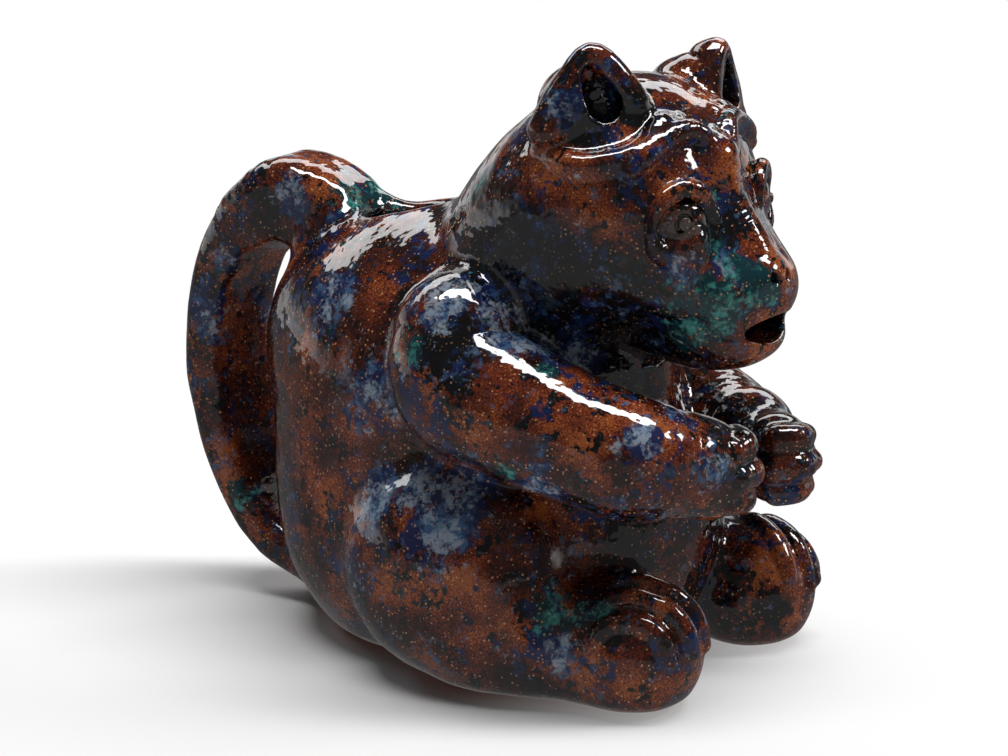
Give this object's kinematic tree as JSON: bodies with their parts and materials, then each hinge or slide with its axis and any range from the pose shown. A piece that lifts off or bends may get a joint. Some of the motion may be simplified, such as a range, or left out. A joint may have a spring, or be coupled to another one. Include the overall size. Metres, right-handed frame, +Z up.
{
  "type": "bear jug",
  "caption": "Hollow glazed stoneware jug shaped as a seated bear: filled through a hole in its back, poured through its open mouth and held by its looped tail.",
  "frame": {"origin": "centre of the flat underside of the belly, on the table", "axes": "+Z up, -Y the way the bear faces, +X towards its left side"},
  "size_m": [0.129, 0.1993, 0.1767],
  "materials": {
    "rust_glaze": "gloss",
    "dark_glaze": "gloss",
    "blue_glaze": "gloss",
    "teal_glaze": "gloss"
  },
  "bodies": {
    "root": {"belly_bowl": "rust_glaze", "back_bowl": "rust_glaze", "head_shell": "rust_glaze", "muzzle": "teal_glaze", "lower_jaw": "dark_glaze", "nose_pad": "dark_glaze", "nose_strip": "rust_glaze", "right_ear": "dark_glaze", "left_ear": "dark_glaze", "right_eye": "dark_glaze", "left_eye": "dark_glaze", "right_upper_lid": "rust_glaze", "left_upper_lid": "rust_glaze", "right_lower_lid": "rust_glaze", "left_lower_lid": "rust_glaze", "right_brow": "rust_glaze", "left_brow": "rust_glaze", "right_thigh": "blue_glaze", "left_thigh": "blue_glaze", "right_foot": "rust_glaze", "left_foot": "rust_glaze", "right_toe_1": "dark_glaze", "right_toe_2": "dark_glaze", "right_toe_3": "dark_glaze", "left_toe_1": "dark_glaze", "left_toe_2": "dark_glaze", "left_toe_3": "dark_glaze", "right_arm": "rust_glaze", "left_arm": "rust_glaze", "right_paw": "blue_glaze", "left_paw": "blue_glaze", "right_digit_1": "dark_glaze", "right_digit_2": "dark_glaze", "right_digit_3": "dark_glaze", "left_digit_1": "dark_glaze", "left_digit_2": "dark_glaze", "left_digit_3": "dark_glaze", "tail_handle": "rust_glaze"}
  },
  "joints": []
}
